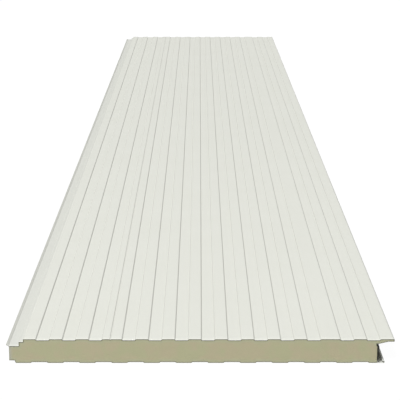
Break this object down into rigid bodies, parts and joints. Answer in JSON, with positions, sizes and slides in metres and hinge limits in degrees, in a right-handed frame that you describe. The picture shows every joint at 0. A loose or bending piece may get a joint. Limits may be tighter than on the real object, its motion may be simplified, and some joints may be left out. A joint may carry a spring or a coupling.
{
  "type": "insulated sandwich panel",
  "caption": "Long insulated wall panel: finely ribbed cream-grey steel facings on a rigid foam core, with a stepped tongue edge and a nosed groove edge that hide the fixings.",
  "frame": {"origin": "bottom centre of the panel's box: middle of its width and length, on the plane of the inner facing's low flats", "axes": "+Y along the panel's length, +X across it from the tongue edge to the nose and groove edge, +Z out of the ribbed weather face"},
  "size_m": [1.0429, 7, 0.0666],
  "materials": {
    "outer_paint": "satin",
    "inner_paint": "satin",
    "foam": "matte",
    "gasket": "matte"
  },
  "bodies": {
    "root": {"outer_facing": "outer_paint", "inner_facing": "inner_paint", "foam_core": "foam", "groove_gasket": "gasket"}
  },
  "joints": []
}
